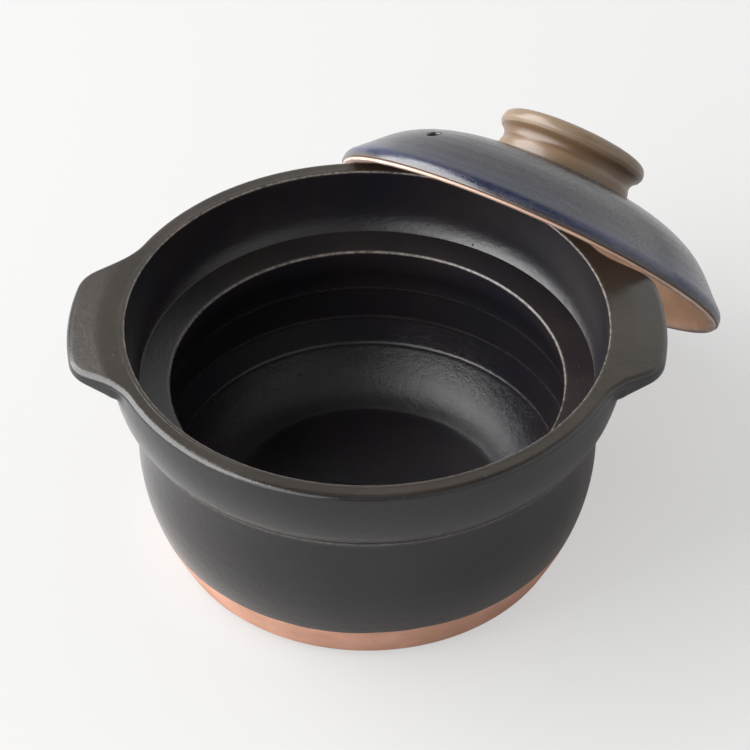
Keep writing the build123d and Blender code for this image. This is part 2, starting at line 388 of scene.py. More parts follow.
def bend(start, corner, end, turn, count):
    """A rounding between two straight runs, without its first point."""
    pull = 4 / 3 * tan(turn / 4) / tan(turn / 2)
    b, c = start + (corner - start) * pull, end + (corner - end) * pull
    t = np.linspace(0, 1, count + 1)[1:, None]
    return (1 - t) ** 3 * start + 3 * (1 - t) ** 2 * t * b + 3 * (1 - t) * t**2 * c + t**3 * end


def smooth(low, high, value):
    """0 below low, 1 above high, and smooth between."""
    t = np.clip((value - low) / (high - low), 0, 1)
    return t * t * (3 - 2 * t)


def near(points, place, reach):
    """1 at a place of a section, falling to 0 beyond its reach."""
    distance = np.hypot(points[..., 0] - place[0], points[..., 1] - place[1])
    return np.exp(-((distance / reach) ** 2))


# Waves with a fixed set of random phases


def ripples(along, angle, period, seed, count=7, slow=3):
    """Ridges that run round a turned surface: a sum of waves along its section that drift with the angle."""
    draw = np.random.default_rng(seed)
    total = np.zeros(np.broadcast(along, angle).shape)
    for _ in range(count):
        wave = 2 * pi / (period * draw.uniform(0.6, 1.8))
        drift = draw.integers(1, slow + 1)
        total += np.sin(
            along * wave
            + draw.uniform(0, 2 * pi)
            + draw.uniform(0.2, 0.9) * np.sin(angle * drift + draw.uniform(0, 2 * pi))
        )
    return total / sqrt(count)


# Pot: turned section, with the collar drawn out into two ears


def collar_radius(height):
    """Outer radius of the collar: upright at the rim, then on a circle to the skirt."""
    drop = pot_height - rim_band - skirt_height
    inset = rim_radius - skirt_radius
    circle = (drop**2 + inset**2) / (2 * inset)
    below = np.clip(pot_height - rim_band - height, 0, drop)
    return rim_radius - circle + np.sqrt(circle**2 - below**2)


def inner_section():
    """From the middle of the floor up the wall of the bowl, over the ledge to the top of the rim."""
    top, middle, low = ring_heights
    cove = [
        (
            floor_flat_radius + across * (low_ring_radius - floor_flat_radius),
            floor_thickness + up * (low - floor_thickness),
        )
        for across, up in cove_shares
    ]
    floor = line((0, floor_thickness), (floor_flat_radius, floor_thickness), step=3)
    rise = curve(
        [(floor_flat_radius, floor_thickness), *reversed(cove), (low_ring_radius, low)],
        cove_start,
        cove_end,
        step=0.7,
    )
    wall = chain(
        scallop((low_ring_radius, low), (bowl_radius, middle), ring_scallops[1]),
        scallop((bowl_radius, middle), (bowl_radius, top), ring_scallops[0]),
    )
    undercut = (ledge_lip_radius + lip_undercut, ledge_height - lip_depth)
    throat = curve([(bowl_radius, top), undercut], (0, 1), (-lip_undercut, lip_depth), step=0.5)
    lip = line(undercut, (ledge_lip_radius, ledge_height), step=1)
    ledge = line((ledge_lip_radius, ledge_height), (ledge_outer_radius, ledge_height + ledge_rise), step=1)
    wall_up = curve(
        [(ledge_outer_radius, ledge_height + ledge_rise), (mouth_radius, pot_height)],
        collar_foot_slope,
        (0, 1),
    )
    top_flat = line((mouth_radius, pot_height), (mouth_radius + rim_inner_rounding * 2, pot_height), step=1)
    return chain(
        floor, rise, wall, throat, lip, ledge_lip_rounding, ledge, ledge_corner_rounding, wall_up,
        rim_inner_rounding, top_flat,
    )


def scallop(start, end, depth):
    """A stretch of wall between two throwing rings, hollowed a little."""
    start, end = np.array(start, float), np.array(end, float)
    along = (end - start) / np.hypot(*(end - start))
    middle = (start + end) / 2 + np.array([along[1], -along[0]]) * depth
    return arc(start, middle, end, count=scallop_count)


def ear_plan():
    """Angle and radius of the outline of a pot with its ear, from the middle of the ear to a quarter turn."""
    tip_end = np.arcsin(ear_tip_half_width / ear_radius)
    root = np.arcsin(ear_root_half_width / rim_radius)
    tip = np.array([(ear_radius * cos(a), ear_radius * sin(a)) for a in np.linspace(0, tip_end, 60)])
    side = line(tuple(tip[-1]), (rim_radius * cos(root), rim_radius * sin(root)), step=0.4)
    rim = np.array([(rim_radius * cos(a), rim_radius * sin(a)) for a in np.linspace(root, pi / 2, 200)])
    plan = chain(tip, ear_corner_rounding, side, ear_flare_rounding, rim, count=40)
    return np.arctan2(plan[:, 1], plan[:, 0]), np.hypot(*plan.T)


def ear_top(radius):
    """Height of the top of the rim and the ears."""
    level = rim_radius + ear_level_run
    slope = ear_drop / (ear_radius - level)
    half = ear_top_rounding * slope / 2
    beyond = radius - (level - half)
    curved = np.clip(beyond, 0, 2 * half)
    return pot_height - slope * curved**2 / (4 * half) - slope * np.clip(beyond - 2 * half, 0, None)


def ear_under(radius):
    """Height of the underside of the ears."""
    share = (radius - rim_radius) / (ear_radius - rim_radius)
    low = pot_height - ear_root_thickness
    return low + share * (pot_height - ear_drop - ear_tip_thickness - low)


def edge_section(reach, stretch):
    """The rim at one angle, from its flat top round the outer edge and back to the collar's wall.

    reach is the radius of the outline there, and stretch how slantingly the section crosses it."""
    tops, rounds, bands, unders, flats, coves, walls = edge_counts
    start = mouth_radius + rim_inner_rounding * 2
    rounding = rim_outer_rounding * stretch
    drawn = smooth(0, ear_blend, reach - rim_radius)
    r = np.linspace(start, reach - rounding, tops + 1)[1:]
    top = np.stack([r, ear_top(r)], axis=1)
    a = np.linspace(0, pi / 2, rounds + 1)[1:]
    r = reach - rounding * (1 - np.sin(a))
    outer = np.stack([r, ear_top(r) - rim_outer_rounding * (1 - np.cos(a))], axis=1)
    under = ear_under(reach)
    under_rounding = ear_under_rounding * drawn
    z = np.linspace(outer[-1, 1], under + under_rounding, bands + 1)[1:]
    band = np.stack([reach - (rim_radius - collar_radius(z)), z], axis=1)
    a = np.linspace(0, pi / 2, unders + 1)[1:]
    r = band[-1, 0] - under_rounding * stretch * (1 - np.cos(a))
    low_edge = np.stack([r, under + under_rounding * (1 - np.sin(a))], axis=1)
    root = np.array([rim_radius, ear_under(rim_radius)])
    inward = np.array([rim_radius - ear_radius, ear_under(rim_radius) - ear_under(ear_radius)])
    inward /= np.hypot(*inward)
    down = np.array([-ear_root_lean, ear_root_thickness - ear_root_height])
    down /= np.hypot(*down)
    turn = np.arccos(inward @ down)
    cut = min(ear_cove_rounding * tan(turn / 2), ear_cove_share * max(0.0, r[-1] - rim_radius))
    r = np.linspace(r[-1], (root - inward * cut)[0], flats + 1)[1:]
    flat = np.stack([r, ear_under(r)], axis=1)
    hollow = bend(root - inward * cut, root, root + down * cut, turn, coves)
    z = np.linspace(hollow[-1, 1], join_height, walls + 1)[1:]
    leaning = rim_radius + (z - root[1]) * ear_root_lean / (ear_root_height - ear_root_thickness)
    share = smooth(join_height, hollow[-1, 1], z)
    wall = np.stack([collar_radius(z) + (leaning - collar_radius(z)) * share, z], axis=1)
    eared = np.vstack([band, low_edge, flat, hollow, wall])
    z = np.linspace(outer[-1, 1], join_height, len(eared) + 1)[1:]
    plain = np.stack([collar_radius(z), z], axis=1)
    return np.vstack([top, outer, plain + (eared - plain) * drawn])


def outer_section():
    """From the collar's wall down over the groove and the bead, and under the foot to the middle."""
    z = np.linspace(join_height, skirt_height, 5)
    collar = np.stack([collar_radius(z), z], axis=1)
    under_skirt = line((skirt_radius, skirt_height), (groove_radius + groove_lip, groove_height), step=0.7)
    groove = line((groove_radius + groove_lip, groove_height), (groove_radius, groove_height), step=0.5)
    bead_up = line((groove_radius, groove_height), (bead_radius, bead_height), step=0.5)
    bead_low = line((bead_radius, bead_height), (bead_radius - bead_foot, bead_height - bead_foot), step=0.5)
    shoulder = line((bead_radius - bead_foot, bead_height - bead_foot), (neck_radius, neck_height), step=0.8)
    slope = (lower_wall_radius - foot_corner_radius, lower_wall_height)
    wall = curve(
        [
            (neck_radius, neck_height),
            (body_radius, body_widest_height),
            (lower_wall_radius, lower_wall_height),
            (foot_corner_radius, 0),
        ],
        (0, -1),
        (-slope[0], -slope[1]),
    )
    foot = line((foot_corner_radius, 0), (0, 0), step=3)
    return chain(
        collar, skirt_rounding, under_skirt, groove, groove_rounding, bead_up, bead_rounding, bead_low,
        shoulder, neck_rounding, wall, foot_rounding, foot,
    )


def pot_angles():
    """Angles round the pot, closer together at the ears."""
    plain = np.arange(0, 360, plain_step)
    plain = plain[np.abs((plain + 90) % 180 - 90) > ear_fan - 0.1]
    fans = [np.arange(middle - ear_fan, middle + ear_fan, ear_step) for middle in (0, 180)]
    return np.radians(np.sort(np.concatenate([plain, np.concatenate(fans) % 360])))


def grid(rings, start_pole, end_pole):
    """Points and faces of a skin over rings of points, closed with a pole at each end."""
    rows, columns = rings.shape[:2]
    points = rings.reshape(-1, 3).tolist()
    faces = []
    for i in range(rows - 1):
        for j in range(columns):
            k = (j + 1) % columns
            faces.append((i * columns + j, i * columns + k, (i + 1) * columns + k, (i + 1) * columns + j))
    first, last = len(points), (rows - 1) * columns
    points += [tuple(start_pole), tuple(end_pole)]
    faces += [(first, (j + 1) % columns, j) for j in range(columns)]
    faces += [(first + 1, last + j, last + (j + 1) % columns) for j in range(columns)]
    return points, faces


def mesh_of(name, points, faces, place=None):
    """A smooth mesh in metres from points in millimetres, its faces turned outwards.

    A piece with a place of its own keeps its own coordinates as an attribute for its material."""
    mesh = bpy.data.meshes.new(name)
    mesh.from_pydata([(x * MM, y * MM, z * MM) for x, y, z in points], [], faces)
    form = bmesh.new()
    form.from_mesh(mesh)
    bmesh.ops.recalc_face_normals(form, faces=form.faces)
    form.to_mesh(mesh)
    form.free()
    if place is not None:
        own = mesh.attributes.new("own", "FLOAT_VECTOR", "POINT")
        own.data.foreach_set("vector", (np.array(points) * MM).ravel().astype(np.float32))
        mesh.transform(place)
    mesh.shade_smooth()
    mesh.update()
    return mesh


def painted(mesh, name, values):
    """Stores one number for each point, for the materials to read."""
    attribute = mesh.attributes.new(name, "FLOAT", "POINT")
    attribute.data.foreach_set("value", np.asarray(values, dtype=np.float32))


def placed(name, mesh, body, nodes, material):
    """A piece that rides on a body and stands for CAD nodes."""
    piece = bpy.data.objects.new(name, mesh)
    bpy.context.scene.collection.objects.link(piece)
    mesh.materials.append(material)
    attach(piece, body)
    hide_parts(*nodes)


def outline(angles):
    """Radius of the pot's outline at each angle, and how slantingly a section crosses it."""
    plan_angles, plan_radii = ear_plan()
    turned_back = np.abs((angles + pi) % (2 * pi) - pi) > pi / 2
    folded = np.abs(np.where(turned_back, pi - angles % (2 * pi), angles))
    folded = np.abs((folded + pi) % (2 * pi) - pi)
    reach = np.interp(folded, plan_angles, plan_radii)
    slope = np.interp(folded, plan_angles, np.gradient(plan_radii, plan_angles))
    return reach, np.sqrt(1 + (slope / reach) ** 2)


def thrown(radius, height, angles, along, inside):
    """The radius with the ridges that throwing left, and how near each point is to a ring's crest."""
    ridges = ripples(along, angles, ridge_spacing, 11)
    fine = ripples(along, angles, fine_ridge_spacing, 12)
    wall = inside & (height > ridged_inside[0]) & (height < ridged_inside[1])
    outside = ~inside & (height > ridged_outside[0]) & (height < ridged_outside[1])
    radius = radius + (ridge_inside * ridges + fine_ridge * fine) * wall + ridge_outside * ridges * outside
    crests = sum(np.exp(-(((height - h) / ring_ridge_width) ** 2)) for h in ring_heights) * inside
    return radius - ring_ridge * crests, crests


def wear_and_highlight(sections, crests, edge_row):
    """How much wear and painted highlight each point gets: worn glaze with a painted highlight on the rim's
    inner edge, the ledge's lip and the rim's outer edge, and only a painted highlight on the bead and on the
    crests of the rings.
    """
    lip_across, lip_up = lip_wear_and_highlight_place
    rows = np.arange(len(sections))[:, None]
    outer = np.exp(-(((rows - edge_row - 4) / outer_wear_and_highlight_rows) ** 2)) * np.ones_like(crests)
    mouth_edge = (mouth_radius + mouth_wear_and_highlight_inset, pot_height - mouth_wear_and_highlight_inset)
    return np.maximum.reduce(
        [
            near(sections, mouth_edge, mouth_wear_and_highlight_reach),
            near(sections, (ledge_lip_radius + lip_across, ledge_height + lip_up), lip_wear_and_highlight_reach),
            bead_highlight * near(sections, (bead_radius, bead_height), bead_highlight_reach),
            ring_highlight * crests,
            outer_wear_and_highlight * outer,
        ]
    )


def build_pot(glaze):
    """The bowl, its collar and both ears in one skin."""
    angles = pot_angles()
    inner = inner_section()[1:]
    outer = outer_section()[1:-1]
    sections = np.stack(
        [np.vstack([inner, edge_section(r, s), outer]) for r, s in zip(*outline(angles))], axis=1
    )
    radius, height = sections[..., 0], sections[..., 1]
    along = lengths(sections[:, 0])[:, None]
    rows = np.arange(len(sections))[:, None]
    inside = rows < len(inner)
    radius, crests = thrown(radius, height, angles[None, :], along, inside)
    rings = np.stack([radius * np.cos(angles), radius * np.sin(angles), height], axis=2)
    points, faces = grid(rings, (0, 0, floor_thickness), (0, 0, 0))
    mesh = mesh_of("pot", points, faces)
    edge_row = len(inner) + edge_counts[0]
    top = (rows >= len(inner) - 3) & (rows < edge_row + 2)
    ledge = inside & (np.abs(height - ledge_height - ledge_rise / 2) < ledge_rise)
    brown = np.maximum(top, ledge_brown * ledge)
    # The edge attribute carries wear and painted highlights on the edges, the bead and the ring crests
    painted(mesh, "edge", np.append(wear_and_highlight(sections, crests, edge_row).ravel(), [0, 0]))
    painted(mesh, "top", np.append(brown.ravel(), [0, 0]))
    painted(mesh, "inside", np.append((inside * np.ones_like(radius)).ravel(), [1, 0]))
    placed("glazed_pot", mesh, "pot", ("pot_body", "handle_left", "handle_right"), glaze)


# Lid, made about its own axis and set where the frame has it


def lid_place():
    """The matrix of the lid: its centre at the edge of the glaze, and its axis along +Z."""
    joint = next(j for j in frame["joints"] if j["name"] == "lid_lift")
    axis = Vector(joint["axis"]).normalized()
    across = axis.cross(Vector((0, 0, 1))).normalized()
    slope = axis.cross(across)
    node = frame["nodes"]["lid_shell"]
    points = np.array([v.co for v in node.data.vertices])
    centre = Vector((0, 0, 0))
    for way in (across, slope):
        reach = points @ np.array(way)
        centre += way * float(reach.max() + reach.min()) / 2
    centre += axis * (float((points @ np.array(axis)).min()) + ring_depth * MM)
    matrix = Matrix((across, slope, axis)).transposed().to_4x4()
    matrix.translation = centre
    return matrix


def dome_section():
    """The outline of the lid from its glazed edge to the crown."""
    knots = [(lid_radius, lid_edge_height)]
    knots += [(out * lid_radius, up * lid_height) for out, up in reversed(lid_outline_shares)]
    knots.append((0, lid_height))
    return curve(knots, (0, 1), (-1, 0))


def hollow_section(dome):
    """The hollow of the lid from the middle out to the inner edge of the bare ring."""
    along = lengths(dome)[-1]
    knots = [(0, lid_height - lid_wall)]
    for share in hollow_shares:
        where = share * along
        knots.append(tuple(at_length(dome, where) + normal_at(dome, where) * lid_wall))
    ring_inner_radius = lid_radius - ring_outer_inset - ring_width
    knots.append((ring_inner_radius, -ring_depth))
    return curve(knots, (1, 0), (0.2, -1))


def turned(section, count, offset=0.0):
    """Rings of points from a section turned about the Z axis."""
    angles = np.linspace(0, 2 * pi, count, endpoint=False) + offset
    r, z = section[:, 0][:, None], section[:, 1][:, None]
    return np.stack([r * np.cos(angles), r * np.sin(angles), z + 0 * angles], axis=2), angles


def hole_loops(points, section, first_row, centre, sense, axis, columns):
    """Rings of points on one side of the lid, from a square of its skin in to the steam hole."""
    bearing = radians(steam_hole_bearing) % (2 * pi)
    half, middle = hole_cells, round(bearing / (2 * pi) * columns)
    along = lengths(section)
    row = first_row + int(np.argmin(np.abs(along - centre)))
    near_row, far_row = row - sense * half, row + sense * half
    steps = np.arange(2 * half)
    edge = [(near_row, middle - half + i) for i in steps]
    edge += [(near_row + sense * i, middle + half) for i in steps]
    edge += [(far_row, middle + half - i) for i in steps]
    edge += [(far_row - sense * i, middle - half) for i in steps]
    square = np.array([(along[i - first_row] - centre, 2 * pi * j / columns - bearing) for i, j in edge])
    square[:, 1] *= at_length(section, centre)[0]
    reach = np.hypot(*square.T)
    way = square / reach[:, None]
    loops = [[int(i * columns + j % columns) for i, j in edge]]
    for spread, wider, depth in hole_profile:
        ring = []
        for out, aside in way * (spread * reach + (1 - spread) * (steam_hole_radius + wider))[:, None]:
            r, z = at_length(section, centre + out)
            angle = bearing + aside / r
            ring.append(len(points))
            points.append(tuple(np.array([r * cos(angle), r * sin(angle), z]) + axis * depth * sense))
        loops.append(ring)
    gone = {
        (row + i) * columns + (middle + j) % columns
        for i in range(-half, half)
        for j in range(-half, half)
    }
    return loops, gone


def open_steam_hole(points, faces, section, dome, hollow, columns):
    """Bores the steam hole through the wall of the lid, with a rounded lip on both sides."""
    bearing = radians(steam_hole_bearing)
    dome_along = steam_hole_share * lengths(dome)[-1]
    inward = normal_at(dome, dome_along)
    opposite = at_length(dome, dome_along) + inward * lid_wall
    nearest = np.argmin(np.hypot(*(hollow - opposite).T))
    hollow_along = lengths(hollow)[nearest]
    axis = np.array([inward[0] * cos(bearing), inward[0] * sin(bearing), inward[1]])
    first_row = len(section) - len(dome) - 1
    outer, outer_gone = hole_loops(points, dome, first_row, dome_along, 1, axis, columns)
    glazed_count = len(points)
    inner, inner_gone = hole_loops(points, hollow, -1, hollow_along, -1, axis, columns)
    faces = [face for i, face in enumerate(faces) if i not in outer_gone and i not in inner_gone]
    loops = outer + inner[::-1]
    for before, after in zip(loops, loops[1:]):
        count = len(before)
        for i in range(count):
            k = (i + 1) % count
            faces.append((before[i], before[k], after[k], after[i]))
    return faces, glazed_count


def build_lid(glaze, place):
    """The shell of the lid: glazed dome, bare ring, hollow and steam hole."""
    dome = dome_section()
    hollow = hollow_section(dome)
    ring_outer_radius = lid_radius - ring_outer_inset
    ring_inner_radius = ring_outer_radius - ring_width
    under = line((ring_inner_radius, -ring_depth), (ring_outer_radius, -ring_depth), step=0.6)
    side = line((ring_outer_radius, -ring_depth), (ring_outer_radius, 0), step=0.4)
    shelf = line((ring_outer_radius, 0), (lid_radius, 0), step=0.4)
    edge = line((lid_radius, 0), (lid_radius, lid_edge_height), step=0.4)
    section = chain(
        hollow, ring_rounding, under, ring_rounding, side, shelf, ring_rounding, edge, dome, count=6
    )
    rings, angles = turned(section[1:-1], lid_columns)
    along = lengths(section)[1:-1][:, None]
    glaze_start = lengths(hollow)[-1] + ring_width + ring_depth - lid_glaze_lap
    ring_middle = glaze_start - bare_ring_back
    fade_start, fade_end = (glaze_start + way for way in lid_glaze_fade)
    glazed = smooth(fade_start, fade_end, along) * np.ones(lid_columns)
    rings[..., 2] += lid_ridge * ripples(along, angles[None, :], lid_ridge_spacing, 5, slow=2) * glazed
    ring = np.exp(-(((along - ring_middle) / bare_ring_reach) ** 4)) * np.ones(lid_columns)
    points, faces = grid(rings, (0, 0, lid_height - lid_wall), (0, 0, lid_height))
    base = len(points)
    faces, glazed_count = open_steam_hole(points, faces, section, dome, hollow, lid_columns)
    added = len(points) - base
    mesh = mesh_of("lid", points, faces, place)
    on_hole = np.arange(base, base + added) < glazed_count
    painted(mesh, "glazed", np.concatenate([glazed.ravel(), [0, 1], on_hole]))
    painted(mesh, "ring", np.concatenate([ring.ravel(), [0, 0], np.zeros(added)]))
    placed("glazed_lid", mesh, "lid", ("lid_shell",), glaze)


def build_knob(glaze, place):
    """The turned knob with its waist, flange and dished top."""
    foot, waist, cove, step, flange = knob_outline
    start = (foot[0], lid_height - lid_wall / 2)
    section = chain(
        line(start, foot, waist, step=0.8),
        arc(waist, cove, step, count=14),
        knob_step_rounding,
        line(step, flange, step=0.6),
        line(flange, (flange[0], knob_height), step=0.6),
        knob_edge_rounding,
        line((flange[0], knob_height), (knob_dish_radius, knob_height), step=0.6),
        knob_dish_rounding,
        curve([(knob_dish_radius, knob_height), (0, knob_height - knob_dish_depth)], (-3, -1), (-1, 0)),
    )
    rings, angles = turned(section[:-1], knob_columns)
    along = lengths(section)[:-1][:, None]
    ridges = ripples(along, angles[None, :], knob_ridge_spacing, 23, slow=2)
    rings[..., :2] *= 1 + knob_ridge_share * ridges[..., None]
    points, faces = grid(rings, (0, 0, start[1]), (0, 0, knob_height - knob_dish_depth))
    mesh = mesh_of("knob", points, faces, place)
    placed("glazed_knob", mesh, "lid", ("lid_knob",), glaze)


# Materials


def add_node(tree, kind, inputs, settings):
    """A node with its settings, each input given a value or linked to a socket."""
    node = tree.nodes.new(kind)
    for key, value in settings.items():
        setattr(node, key, value)
    for key, value in inputs.items():
        if isinstance(value, bpy.types.NodeSocket):
            tree.links.new(value, node.inputs[key])
        else:
            node.inputs[key].default_value = value
    return node


class Nodes:
    """Short calls to build a material from nodes."""

    def __init__(self, name, own=False):
        self.material = bpy.data.materials.new(name)
        self.material.use_nodes = True
        self.tree = self.material.node_tree
        self.tree.nodes.clear()
        if own:
            self.coords = self.add("ShaderNodeAttribute", attribute_name="own").outputs["Vector"]
        else:
            self.coords = self.add("ShaderNodeTexCoord").outputs["Object"]
        split = self.add("ShaderNodeSeparateXYZ", {0: self.coords})
        self.x, self.y, self.height = (split.outputs[axis] for axis in "XYZ")
        self.radius = self.math("SQRT", self.scaled(self.x, self.x, self.times(self.y, self.y)))

    def add(self, kind, inputs=None, **settings):
        return add_node(self.tree, kind, inputs or {}, settings)

    def math(self, operation, *values):
        return self.add("ShaderNodeMath", dict(enumerate(values)), operation=operation).outputs[0]

    def times(self, a, b):
        return self.math("MULTIPLY", a, b)

    def scaled(self, value, factor, offset):
        return self.math("MULTIPLY_ADD", value, factor, offset)

    def mix(self, factor, a, b):
        node = self.add("ShaderNodeMix", {0: factor, 6: a, 7: b}, data_type="RGBA")
        return node.outputs[2]

    def tint(self, factor, pair):
        return self.mix(factor, rgb(*pair[0]), rgb(*pair[1]))

    def noise(self, scale, detail, roughness, vector=None):
        vector = vector or self.coords
        inputs = {"Vector": vector, "Scale": scale, "Detail": detail, "Roughness": roughness}
        return self.add("ShaderNodeTexNoise", inputs).outputs["Fac"]

    def dots(self, scale, size, share):
        """Round dots, 1 at their middle, in a share of the cells of a random pattern."""
        node = self.add("ShaderNodeTexVoronoi", {"Vector": self.coords, "Scale": scale})
        draw = self.add("ShaderNodeSeparateXYZ", {0: node.outputs["Color"]}).outputs[0]
        chosen = self.math("LESS_THAN", draw, share)
        return self.times(self.ramp(node.outputs["Distance"], size, 0.4 * size), chosen)

    def turned(self, stretch, wander=0.004):
        """Coordinates that run together round the axis, so that a noise in them makes brushed rings."""
        drift = self.noise(8.0, 2.0, 0.5)
        angle = self.math("ARCTAN2", self.y, self.x)
        inputs = {
            "X": self.scaled(drift, wander, self.radius),
            "Y": self.height,
            "Z": self.times(self.math("SINE", angle), stretch),
        }
        return self.add("ShaderNodeCombineXYZ", inputs).outputs[0]

    def attribute(self, name):
        return self.add("ShaderNodeAttribute", attribute_name=name).outputs["Fac"]

    def ramp(self, factor, low, high, start=0.0, end=1.0):
        inputs = {"Value": factor, "From Min": low, "From Max": high, "To Min": start, "To Max": end}
        return self.add("ShaderNodeMapRange", inputs, interpolation_type="SMOOTHSTEP").outputs[0]

    def bump(self, height, distance, strength=1.0, normal=None):
        inputs = {"Height": height, "Distance": distance, "Strength": strength}
        if normal is not None:
            inputs["Normal"] = normal
        return self.add("ShaderNodeBump", inputs).outputs[0]

    def shader(self, **inputs):
        named = {key.replace("_", " "): value for key, value in inputs.items()}
        return self.add("ShaderNodeBsdfPrincipled", named).outputs[0]

    def finish(self, shader):
        output = self.add("ShaderNodeOutputMaterial")
        self.tree.links.new(shader, output.inputs["Surface"])
        return self.material


def rgb(red, green, blue):
    """A linear colour from one as it looks on screen, from 0 to 255."""
    linear = [
        (v / 255 / 12.92) if v <= 10 else ((v / 255 + 0.055) / 1.055) ** 2.4 for v in (red, green, blue)
    ]
    return (*linear, 1.0)


def dark_glaze():
    """Near-black glaze that ends in a wavering line above the bare clay of the foot."""
    n = Nodes("black_glaze")
    inside = n.attribute("inside")
    outside = n.math("SUBTRACT", 1.0, inside)
    patches = n.noise(26.0, 4.0, 0.6)
    grain = n.noise(1300.0, 3.0, 0.65)
    pores = n.dots(260.0, 0.16, 0.05)
    glaze = n.shader(
        Base_Color=glaze_colour(n, inside, patches, pores),
        Roughness=glaze_roughness(n, inside, outside, patches, grain),
        IOR=1.47,
        Normal=glaze_relief(n, inside, grain, pores),
    )
    rough_clay = n.bump(n.noise(1500.0, 4.0, 0.7), clay_depth)
    clay = n.shader(Base_Color=clay_colour(n), Roughness=0.85, Normal=rough_clay)
    boundary = n.scaled(n.noise(16.0, 4.0, 0.55), glaze_end_waver, glaze_end)
    bare = n.times(n.ramp(n.math("SUBTRACT", n.height, boundary), *glaze_end_span), outside)
    return n.finish(n.add("ShaderNodeMixShader", {0: bare, 1: glaze, 2: clay}).outputs[0])


def glaze_colour(n, inside, patches, pores):
    """Dark patches, brown on the flat tops and grey on the edges as wear with a painted highlight, with
    pores.
    """
    soft = n.ramp(patches, 0.3, 0.7)
    colour = n.mix(inside, n.tint(n.ramp(patches, 0.35, 0.65), glaze_outside), n.tint(soft, glaze_inside))
    colour = n.mix(n.attribute("top"), colour, n.tint(soft, glaze_on_top))
    # Lighter edges: partly wear, partly a painted highlight
    worn_and_highlight = n.times(n.attribute("edge"), n.ramp(n.noise(500.0, 3.0, 0.7), 0.34, 0.62, 0.2, 1.0))
    colour = n.mix(worn_and_highlight, colour, n.tint(n.ramp(n.noise(90.0, 2.0, 0.5), 0.4, 0.6), glaze_worn_and_highlight))
    return n.mix(pores, colour, rgb(*glaze_pore))


def glaze_relief(n, inside, grain, pores):
    """Waves and a grain that are stronger inside, the grain most of all in the cove, and sunken pores."""
    waves = n.times(n.noise(330.0, 3.0, 0.55), n.scaled(inside, 0.4, 1.0))
    cove = n.times(inside, n.ramp(n.height, *cove_span))
    grain = n.times(grain, n.scaled(cove, 0.9, n.scaled(inside, 0.9, 0.8)))
    normal = n.bump(waves, wave_depth)
    normal = n.bump(grain, grain_depth, normal=normal)
    return n.bump(pores, -pore_depth, normal=normal)


def glaze_roughness(n, inside, outside, patches, grain):
    """Glossy, a little rougher in patches outside and low on the wall of the bowl."""
    rough = n.scaled(grain, 0.12, 0.1)
    rough = n.scaled(n.times(outside, n.ramp(patches, 0.35, 0.65)), 0.06, rough)
    low_wall = n.times(n.ramp(n.height, *low_wall_start), n.ramp(n.height, *low_wall_end))
    return n.scaled(n.times(inside, low_wall), 0.1, rough)


def clay_colour(n):
    """Bare clay in patches, with darker specks."""
    colour = n.tint(n.ramp(n.noise(55.0, 4.0, 0.6), 0.3, 0.7), foot_clay)
    specks = n.times(n.ramp(n.noise(1400.0, 2.0, 0.6), 0.56, 0.7), 0.5)
    return n.mix(specks, colour, rgb(*foot_speck))


def lid_glaze():
    """Navy glaze with brushed rings and dark specks on the dome, a bare ring, and a tan hollow."""
    n = Nodes("navy_glaze", own=True)
    glazed = n.attribute("glazed")
    brushed = n.turned(0.02)
    streaks = n.noise(520.0, 5.0, 0.65, vector=brushed)
    patches = n.noise(30.0, 4.0, 0.65)
    specks = n.ramp(n.noise(1100.0, 3.0, 0.7), 0.53, 0.64)
    colour = n.mix(glazed, bare_lid_colour(n), dome_colour(n, brushed, streaks, patches, specks))
    marks = n.times(specks, n.times(glazed, n.ramp(patches, 0.35, 0.55, 0.2, 1.0)))
    normal = n.bump(streaks, streak_depth, strength=0.7)
    normal = n.bump(marks, -speck_depth, normal=normal)
    normal = n.bump(n.noise(700.0, 3.0, 0.6), lid_grain_depth, normal=normal)
    rough = n.scaled(marks, 0.1, n.scaled(streaks, 0.14, 0.13))
    rough = n.math("ADD", rough, n.times(n.math("SUBTRACT", 1.0, glazed), 0.4))
    return n.finish(n.shader(Base_Color=colour, Roughness=rough, IOR=1.58, Normal=normal))


def dome_colour(n, brushed, streaks, patches, specks):
    """Near-black with navy rings, bluest near the edge, with pale streaks, dark specks and a brown edge."""
    broad = n.noise(75.0, 3.0, 0.55, vector=brushed)
    low = n.ramp(n.height, *lid_blue_span)
    colour = n.mix(
        n.scaled(low, 0.7, n.ramp(broad, 0.5, 0.75, 0.0, 0.3)),
        n.tint(n.ramp(patches, 0.35, 0.65), lid_dark),
        n.tint(n.ramp(broad, 0.4, 0.6), lid_navy),
    )
    colour = n.mix(n.times(n.ramp(streaks, 0.52, 0.7), 0.25), colour, rgb(*lid_streak))
    colour = n.mix(n.times(specks, n.ramp(patches, 0.38, 0.58, 0.25, 0.8)), colour, rgb(*lid_speck))
    return n.mix(n.ramp(n.height, *lid_edge_span), colour, rgb(*lid_edge))


def bare_lid_colour(n):
    """The tan hollow, and the pale ring with painted shade on one side, where it rests against the pot's rim.
    """
    hollow = n.tint(n.ramp(n.noise(50.0, 3.0, 0.5), 0.3, 0.7), lid_hollow)
    ring = n.tint(n.ramp(n.noise(120.0, 3.0, 0.6), 0.35, 0.65), lid_ring)
    # Painted shade on the ring where it rests against the pot's rim
    ring_shade = n.times(n.ramp(n.x, *ring_shade_start), n.ramp(n.x, *ring_shade_end, 0.0, 0.75))
    return n.mix(n.attribute("ring"), hollow, n.mix(ring_shade, ring, rgb(*lid_ring_shade)))


